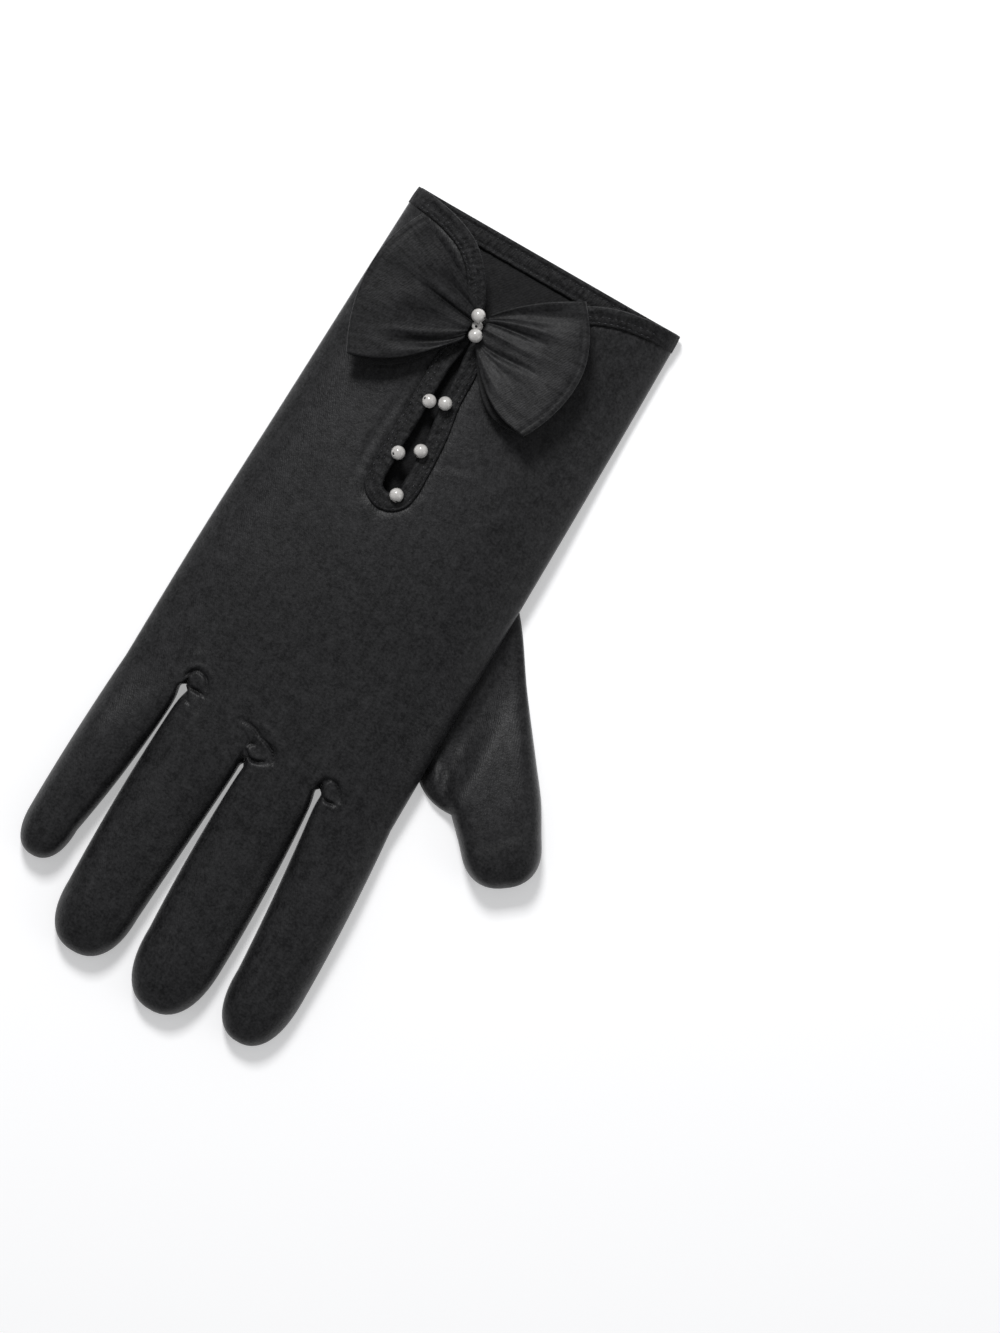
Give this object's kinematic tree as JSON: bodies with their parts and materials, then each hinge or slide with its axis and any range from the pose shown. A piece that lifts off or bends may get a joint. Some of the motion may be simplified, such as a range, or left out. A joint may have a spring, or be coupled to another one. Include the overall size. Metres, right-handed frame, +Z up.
{
  "type": "wrist length dress glove",
  "caption": "Right hand wrist length dress glove in satin, lying flat, with a bound keyhole opening, a bow and sewn pearls on its back.",
  "frame": {"origin": "on the flat underside of the palm, on the glove's middle line", "axes": "+Y towards the cuff, the fingers along -Y, +X to the thumb's side, +Z up through the back of the hand"},
  "size_m": [0.1337, 0.2431, 0.0224],
  "materials": {
    "satin": "woven satin, soft sheen",
    "binding": "bias strip, stitched",
    "bow_satin": "woven satin, gathered",
    "pearl": "pearl lacquer"
  },
  "bodies": {
    "root": {"hand": "satin", "thumb": "satin", "opening_binding": "binding", "palm_binding": "binding", "bow": "bow_satin", "knot_pearl_1": "pearl", "knot_pearl_2": "pearl", "knot_pearl_3": "pearl", "keyhole_pearl_1": "pearl", "keyhole_pearl_2": "pearl", "keyhole_pearl_3": "pearl", "keyhole_pearl_4": "pearl", "keyhole_pearl_5": "pearl"}
  },
  "joints": []
}
